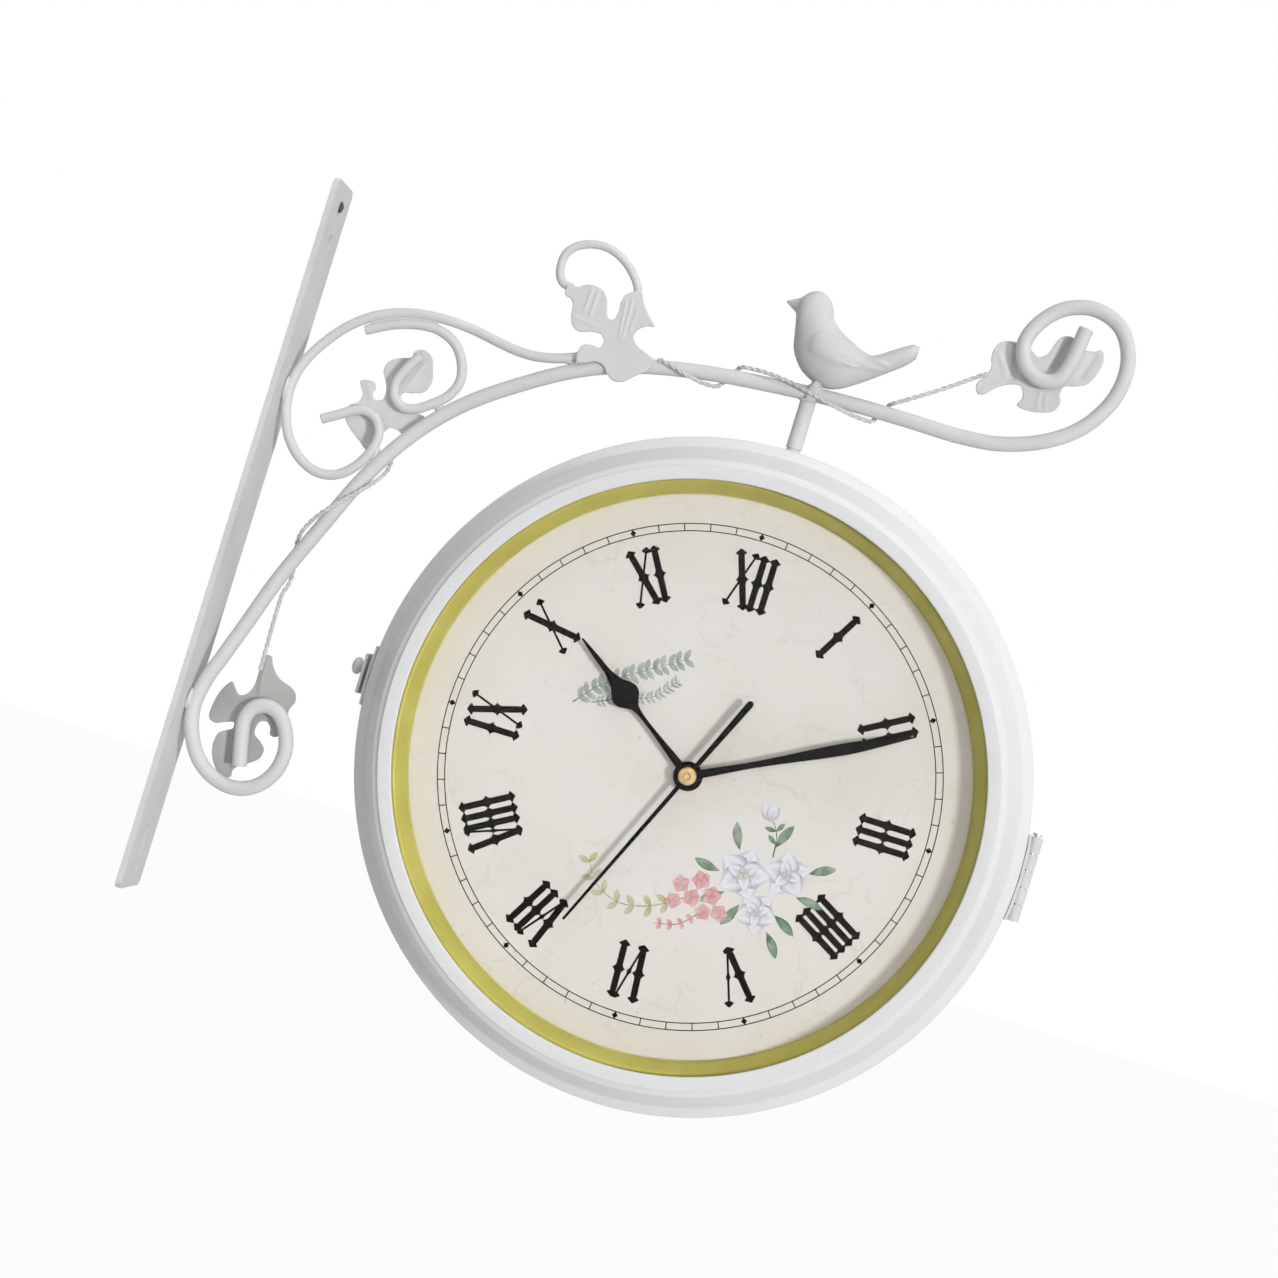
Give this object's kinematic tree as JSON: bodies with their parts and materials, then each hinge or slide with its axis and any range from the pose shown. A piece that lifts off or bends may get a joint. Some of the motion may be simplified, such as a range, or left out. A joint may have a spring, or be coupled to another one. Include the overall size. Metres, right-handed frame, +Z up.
{
  "type": "double sided wall bracket clock",
  "caption": "Round double sided clock hanging by a short stem from a scrolled wall bracket with leaves, twisted wire and a perched bird; the front half opens on a hinge.",
  "frame": {"origin": "centre of the wall plate's back face", "axes": "+X away from the wall along the arm, front dial faces -Y, +Z up"},
  "size_m": [0.3436, 0.092, 0.3569],
  "materials": {
    "white_paint": "satin white enamel on wrought steel",
    "case_lacquer": "smooth white lacquer on pressed steel",
    "gold_lacquer": "satin pale gold lacquer",
    "window_glass": "clear flat glass",
    "dial_print": "matt printed card, aged cream with a painted spray",
    "grey_board": "raw fibre board",
    "black_lacquer": "satin black",
    "brass": "polished",
    "zinc_steel": "zinc plated",
    "black_plastic": "fine moulded texture",
    "battery_wrap": "plain shrink wrap"
  },
  "bodies": {
    "bracket_and_rear_case": {"wall_plate": "white_paint", "main_arm": "white_paint", "upper_scroll": "white_paint", "inner_scroll": "white_paint", "tendril_top": "white_paint", "leaf_top": "white_paint", "leaf_end": "white_paint", "leaf_foot": "white_paint", "leaf_scroll": "white_paint", "vine_wire_outer": "white_paint", "vine_wire_lower": "white_paint", "bird": "white_paint", "stem_tube": "white_paint", "stem_washer": "zinc_steel", "stem_nut": "zinc_steel", "rear_shell": "case_lacquer", "hinge_leaf_rear": "white_paint", "hinge_pin": "zinc_steel", "latch_base": "white_paint", "latch_pin": "zinc_steel", "rear_trim_ring": "gold_lacquer", "rear_glass": "window_glass", "rear_dial": "dial_print", "rear_retaining_ring": "grey_board", "rear_movement": "black_plastic", "rear_battery": "battery_wrap", "rear_dial_nut": "brass"},
    "front_door": {"front_shell": "case_lacquer", "hinge_leaf_front": "white_paint", "latch_keeper": "white_paint", "front_trim_ring": "gold_lacquer", "front_glass": "window_glass", "front_dial": "dial_print", "front_retaining_ring": "grey_board", "front_movement": "black_plastic", "front_battery": "battery_wrap", "front_dial_nut": "brass"},
    "latch_hasp": {"latch_hasp": "white_paint"},
    "front_hour_hand": {"front_hour_hand": "black_lacquer"},
    "front_minute_hand": {"front_minute_hand": "black_lacquer"},
    "front_second_hand": {"front_second_hand": "black_lacquer"},
    "front_set_knob": {"front_set_knob": "black_plastic"},
    "rear_hour_hand": {"rear_hour_hand": "black_lacquer"},
    "rear_minute_hand": {"rear_minute_hand": "black_lacquer"},
    "rear_second_hand": {"rear_second_hand": "black_lacquer"},
    "rear_set_knob": {"rear_set_knob": "black_plastic"}
  },
  "joints": [
    {"name": "front_door_hinge", "type": "hinge", "parent": "bracket_and_rear_case", "child": "front_door", "pos_m": [0.3411, -0.01215, -0.0375], "axis": [0, 0, 1], "range_deg": [0, 110]},
    {"name": "latch_hasp_hinge", "type": "hinge", "parent": "bracket_and_rear_case", "child": "latch_hasp", "pos_m": [0.0706, -0.00415, -0.0375], "axis": [0, 0, -1], "range_deg": [0, 110]},
    {"name": "front_minute_turn", "type": "hinge", "parent": "front_door", "child": "front_minute_hand", "pos_m": [0.2062, -0.037, -0.0375], "axis": [0, 1, 0], "continuous": true},
    {"name": "front_hour_turn", "type": "hinge", "parent": "front_door", "child": "front_hour_hand", "pos_m": [0.2062, -0.037, -0.0375], "axis": [0, 1, 0], "continuous": true},
    {"name": "front_second_turn", "type": "hinge", "parent": "front_door", "child": "front_second_hand", "pos_m": [0.2062, -0.037, -0.0375], "axis": [0, 1, 0], "continuous": true},
    {"name": "front_knob_turn", "type": "hinge", "parent": "front_door", "child": "front_set_knob", "pos_m": [0.2212, -0.016, -0.0235], "axis": [0, 1, 0], "continuous": true},
    {"name": "rear_minute_turn", "type": "hinge", "parent": "bracket_and_rear_case", "child": "rear_minute_hand", "pos_m": [0.2062, 0.037, -0.0375], "axis": [0, -1, 0], "continuous": true},
    {"name": "rear_hour_turn", "type": "hinge", "parent": "bracket_and_rear_case", "child": "rear_hour_hand", "pos_m": [0.2062, 0.037, -0.0375], "axis": [0, -1, 0], "continuous": true},
    {"name": "rear_second_turn", "type": "hinge", "parent": "bracket_and_rear_case", "child": "rear_second_hand", "pos_m": [0.2062, 0.037, -0.0375], "axis": [0, -1, 0], "continuous": true},
    {"name": "rear_knob_turn", "type": "hinge", "parent": "bracket_and_rear_case", "child": "rear_set_knob", "pos_m": [0.1912, 0.016, -0.0235], "axis": [0, -1, 0], "continuous": true}
  ],
  "couplings": [
    {"joint": "front_hour_turn", "follows": "front_minute_turn", "ratio": 0.083333},
    {"joint": "front_knob_turn", "follows": "front_minute_turn", "ratio": -0.33333},
    {"joint": "rear_hour_turn", "follows": "rear_minute_turn", "ratio": 0.083333},
    {"joint": "rear_knob_turn", "follows": "rear_minute_turn", "ratio": -0.33333}
  ]
}
